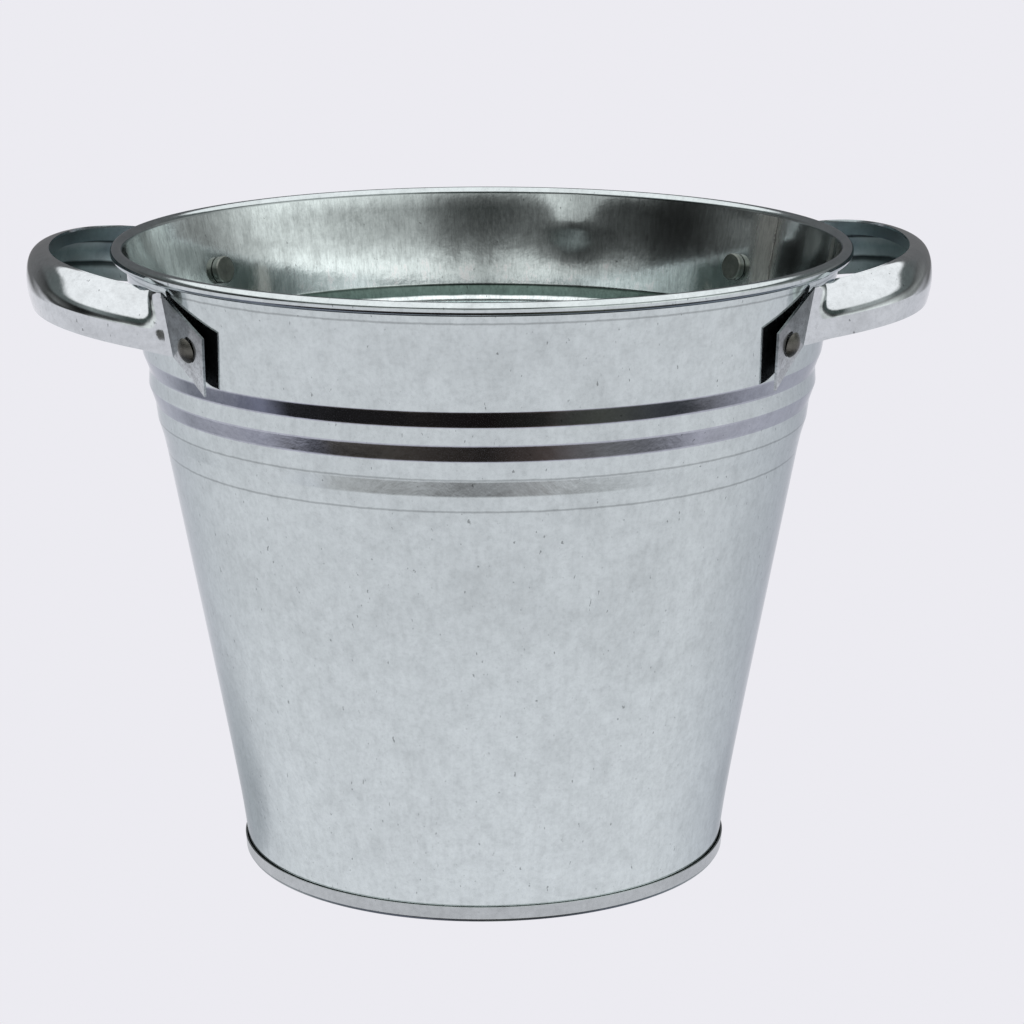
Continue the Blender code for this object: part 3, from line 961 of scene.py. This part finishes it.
def build_handle(side, materials):
    """A strap with its two tabs; materials are the backs of both, then their fronts."""
    rounds = 2
    sections = (softened(END_SECTION, rounds), softened(LEG_SECTION, rounds))
    rows = both_halves(side, lambda end: half_rows(side, end, sections))
    handle = grid_mesh("handle_piece_" + side, rows)
    tab_rows = len(TAB_SHARES) - 1
    row_faces = len(sections[0]) - 1
    row_count = len(rows) - 1
    for material in materials:
        handle.data.materials.append(material)
    for face in handle.data.polygons:
        row = face.index // row_faces
        if row < tab_rows or row >= row_count - tab_rows:
            face.material_index = 1
    thickened(handle, STRAP_SHEET, 1.0, 2)

    shares = [LIP_END * step / STRAP_STATIONS for step in range(STRAP_STATIONS + 1)]
    rows = both_halves(side, lambda end: [lip_section(side, end, share, sections)
                                          for share in shares])
    lip = grid_mesh("lip_" + side, rows)
    lip.data.materials.append(materials[0])
    thickened(lip, LIP_SHEET, -1.0, 0)
    both = bmesh.new()
    both.from_mesh(handle.data)
    both.from_mesh(lip.data)
    both.to_mesh(handle.data)
    both.free()
    bpy.data.objects.remove(lip)
    face_outwards(handle)
    handle.data.shade_smooth()
    handle.data.set_sharp_from_angle(angle=math.radians(SHARP_ANGLE))
    if side == "left":
        handle.data.transform(Matrix.Rotation(math.pi, 4, "Z"))
    attach(handle, "handle_" + side, [])


# ---------------------------------------------------------------- light, floor and camera

# Tones around the room, as (degrees from the front, colour). They stand for the dark
# front edge of the table, lilac card beside it and grey walls.
TABLE_EDGE = (
    (-180, (0.50, 0.52, 0.55)),
    (-150, (0.45, 0.47, 0.50)),
    (-134, (0.18, 0.20, 0.23)),
    (-113, (0.17, 0.18, 0.23)),
    (-97, (0.25, 0.26, 0.34)),
    (-86, (0.02, 0.02, 0.02)),
    (0, (0.012, 0.009, 0.009)),
    (26, (0.022, 0.024, 0.020)),
    (51, (0.10, 0.105, 0.085)),
    (74, (0.07, 0.076, 0.08)),
    (96, (0.03, 0.033, 0.036)),
    (113, (0.17, 0.18, 0.23)),
    (136, (0.20, 0.23, 0.27)),
    (160, (0.45, 0.47, 0.50)),
)
TABLE_TOP = (
    (-180, (0.60, 0.62, 0.65)),
    (-145, (0.50, 0.52, 0.56)),
    (-130, (0.20, 0.22, 0.24)),
    (-118, (0.54, 0.59, 0.75)),
    (-97, (0.66, 0.68, 0.92)),
    (-73, (0.44, 0.45, 0.55)),
    (-66, (0.15, 0.13, 0.10)),
    (-26, (0.057, 0.047, 0.038)),
    (0, (0.029, 0.024, 0.020)),
    (26, (0.11, 0.084, 0.071)),
    (51, (0.27, 0.27, 0.27)),
    (75, (0.22, 0.22, 0.24)),
    (97, (0.45, 0.46, 0.64)),
    (137, (0.24, 0.28, 0.35)),
    (160, (0.60, 0.62, 0.65)),
)
# How far, in degrees, the table's edge rises towards the back of the room.
TABLE_RISE = (
    (-180, 28.0),
    (-152, 24.0),
    (-134, 19.5),
    (-114, 12.5),
    (-92, 7.0),
    (-62, 3.4),
    (-30, 0.3),
    (0, 0.0),
    (30, 0.3),
    (62, 3.4),
    (92, 7.0),
    (114, 12.5),
    (134, 18.0),
    (152, 23.0),
    (180, 28.0),
)
# Elevation at which the bright ceiling starts.
CEILING_START = (
    (-180, 38.0),
    (-150, 34.0),
    (-100, 24.0),
    (-60, 25.0),
    (-20, 27.0),
    (20, 27.0),
    (60, 25.0),
    (100, 24.0),
    (150, 34.0),
    (180, 38.0),
)
ROOM = (
    (-180, 0.1),
    (-150, 0.05),
    (-120, 0.06),
    (-106, 0.13),
    (-84, 0.03),
    (-75, 0.014),
    (-65, 0.02),
    (-47, 0.075),
    (-38, 0.068),
    (-30, 0.09),
    (-27, 0.18),
    (-23, 0.203),
    (-15, 0.165),
    (-5, 0.09),
    (3, 0.124),
    (8, 0.15),
    (17, 0.4),
    (20, 0.58),
    (27, 0.65),
    (44, 0.7),
    (57, 0.82),
    (71, 0.72),
    (82, 0.58),
    (103, 0.22),
    (133, 0.25),
    (160, 0.13),
    (180, 0.1),
)
# The same room just below the line where the inside wall's lower half looks.
LOW_ROOM = (
    (-180, 0.1),
    (-80, 0.03),
    (-67, 0.05),
    (-56, 0.24),
    (-45, 0.32),
    (-34, 0.4),
    (-24, 0.58),
    (-13, 0.5),
    (-3, 0.36),
    (6, 0.46),
    (17, 0.62),
    (44, 0.72),
    (72, 0.8),
    (82, 0.62),
    (103, 0.22),
    (180, 0.1),
)
ROOM_SPLIT = [(angle, 21.0 * math.cos(math.radians(0.5 * angle)) - 10.15)
              for angle in range(-80, 81, 20)]
ROOM_TINT = (0.97, 1.0, 0.99)
UPPER_ROOM = (
    (-180, (0.10, 0.12, 0.12)),
    (-80, (0.16, 0.18, 0.18)),
    (-60, (0.30, 0.33, 0.33)),
    (-28, (0.14, 0.16, 0.16)),
    (-18, (0.07, 0.09, 0.085)),
    (18, (0.07, 0.09, 0.085)),
    (28, (0.45, 0.48, 0.48)),
    (70, (0.45, 0.48, 0.48)),
    (90, (0.16, 0.18, 0.18)),
    (180, (0.10, 0.12, 0.12)),
)
BACK_ROOM = (0.17, 0.17, 0.175)
SWEEP = (
    (-180, (0.84, 0.83, 0.88)),
    (-120, (0.86, 0.85, 0.90)),
    (-60, (0.84, 0.83, 0.88)),
    (90, (0.84, 0.83, 0.88)),
    (126, (0.74, 0.735, 0.79)),
    (150, (0.72, 0.715, 0.77)),
    (180, (0.80, 0.79, 0.84)),
)
CEILING = (1.25, 1.25, 1.27)


def around(tree, bearing, tones):
    stops = [((angle + 180.0) / 360.0, tone) for angle, tone in tones]
    return ramp(tree, bearing, stops)


def by_height(tree, rise, stops):
    """A factor that follows elevation; stops are pairs of degrees and value."""
    return ramp(tree, rise, [((angle + 90.0) / 180.0, value) for angle, value in stops])


def build_light():
    """A plain studio: pale sweep below, room tones at eye level, soft light above."""
    world = bpy.data.worlds.new("studio")
    bpy.context.scene.world = world
    world.use_nodes = True
    tree = world.node_tree
    tree.nodes.clear()
    direction = make(tree, "ShaderNodeTexCoord").outputs["Generated"]
    parts = make(tree, "ShaderNodeSeparateXYZ", {0: direction}).outputs
    towards_front = maths(tree, "MULTIPLY", parts[1], -1.0)
    turn = maths(tree, "ARCTAN2", parts[0], towards_front)
    bearing = scaled(tree, turn, 1.0 / math.tau, 0.5)
    lift = maths(tree, "ARCSINE", parts[2])
    rise = scaled(tree, lift, 1.0 / math.pi, 0.5)

    shifts = [(angle, degrees / 180.0) for angle, degrees in TABLE_RISE]
    shift = around(tree, bearing, shifts)
    table_rise = maths(tree, "SUBTRACT", rise, shift)
    edge_rise = maths(tree, "SUBTRACT", table_rise, shift)
    table_edge = around(tree, bearing, TABLE_EDGE)
    table_top = around(tree, bearing, TABLE_TOP)
    splits = [(angle, degrees / 180.0) for angle, degrees in ROOM_SPLIT]
    above = maths(tree, "SUBTRACT", rise, around(tree, bearing, splits))
    room = blended(tree, by_height(tree, above, ((-0.6, 0.0), (0.5, 1.0))),
                   around(tree, bearing, LOW_ROOM), around(tree, bearing, ROOM))
    room = blended(tree, 1.0, room, ROOM_TINT, "MULTIPLY")
    room = blended(tree, 1.0, room, by_height(tree, rise, ((8, 1.5), (12, 1.0), (16, 0.4))),
                   "MULTIPLY")
    behind = around(tree, bearing, ((-145, 1.0), (-115, 0.0), (115, 0.0), (145, 1.0)))

    colour = blended(tree, by_height(tree, edge_rise, ((-53, 0.0), (-51, 1.0))),
                     table_edge, table_top)
    colour = blended(tree, by_height(tree, table_rise, ((-48, 0.0), (-44.0, 1.0))),
                     colour, around(tree, bearing, SWEEP))
    front = blended(tree, by_height(tree, rise, ((-2, 0.0), (2, 1.0))), colour, room)
    front = blended(tree, by_height(tree, rise, ((15, 0.0), (19, 1.0))), front,
                    around(tree, bearing, UPPER_ROOM))
    back = blended(tree, by_height(tree, rise, ((-10, 0.0), (-6, 1.0))), colour, BACK_ROOM)
    colour = blended(tree, behind, front, back)
    starts = [(angle, degrees / 180.0) for angle, degrees in CEILING_START]
    over = maths(tree, "SUBTRACT", rise, around(tree, bearing, starts))
    colour = blended(tree, by_height(tree, over, ((0, 0.0), (4, 1.0))), colour, CEILING)
    background = make(tree, "ShaderNodeBackground", {"Color": colour, "Strength": 1.0})
    output = make(tree, "ShaderNodeOutputWorld")
    tree.links.new(background.outputs[0], output.inputs[0])


def build_backdrop():
    """The pale floor and sweep: a big dome with a flat bottom, seen by the camera only."""
    shape = bmesh.new()
    bmesh.ops.create_uvsphere(shape, u_segments=64, v_segments=32, radius=BACKDROP_RADIUS)
    for vert in shape.verts:
        vert.co.z = max(vert.co.z, 0.0)
    mesh = bpy.data.meshes.new("studio_floor")
    shape.to_mesh(mesh)
    shape.free()
    floor = bpy.data.objects.new("studio_floor", mesh)
    bpy.context.scene.collection.objects.link(floor)
    material = bpy.data.materials.new("pale_sweep")
    material.use_nodes = True
    tree = material.node_tree
    tree.nodes.clear()
    glow = make(tree, "ShaderNodeEmission", {"Color": (*BACKDROP_COLOUR, 1.0)})
    output = make(tree, "ShaderNodeOutputMaterial")
    tree.links.new(glow.outputs[0], output.inputs[0])
    mesh.materials.append(material)
    floor.visible_glossy = False
    floor.visible_diffuse = False
    floor.visible_shadow = False


def build_camera():
    data = bpy.data.cameras.new("camera")
    data.lens = CAMERA_LENS
    data.sensor_width = 36.0
    data.clip_end = 50.0
    camera = bpy.data.objects.new("camera", data)
    bpy.context.scene.collection.objects.link(camera)
    place = Matrix.Translation((0.0, -CAMERA_DISTANCE * MM, CAMERA_HEIGHT * MM))
    aim = (Matrix.Rotation(CAMERA_YAW, 4, "Z")
           @ Matrix.Rotation(math.pi / 2.0 + CAMERA_PITCH, 4, "X")
           @ Matrix.Rotation(CAMERA_ROLL, 4, "Z"))
    camera.matrix_world = Matrix.Rotation(TURN, 4, "Z") @ place @ aim
    bpy.context.scene.camera = camera


# ---------------------------------------------------------------- assembly


def main():
    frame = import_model()
    bpy.context.scene.view_settings.view_transform = "Standard"

    build_camera()
    build_light()
    build_backdrop()

    finish = finishes()
    build_wall([finish[name] for name in ("outside", "inside", "rim", "bead_shade")])
    build_base(finish["base"])
    for side in ("left", "right"):
        build_handle(side, [finish[name] for name in ("strap_back_painted", "tab_back_shade", "strap", "tab")])
        for end in ("front", "back"):
            build_rivet(side, end, [finish["rivet"], finish["button"]])
    wire_node = frame["nodes"]["rim_wire"]
    wire_node.data.materials.clear()
    wire_node.data.materials.append(finish["wire"])


main()
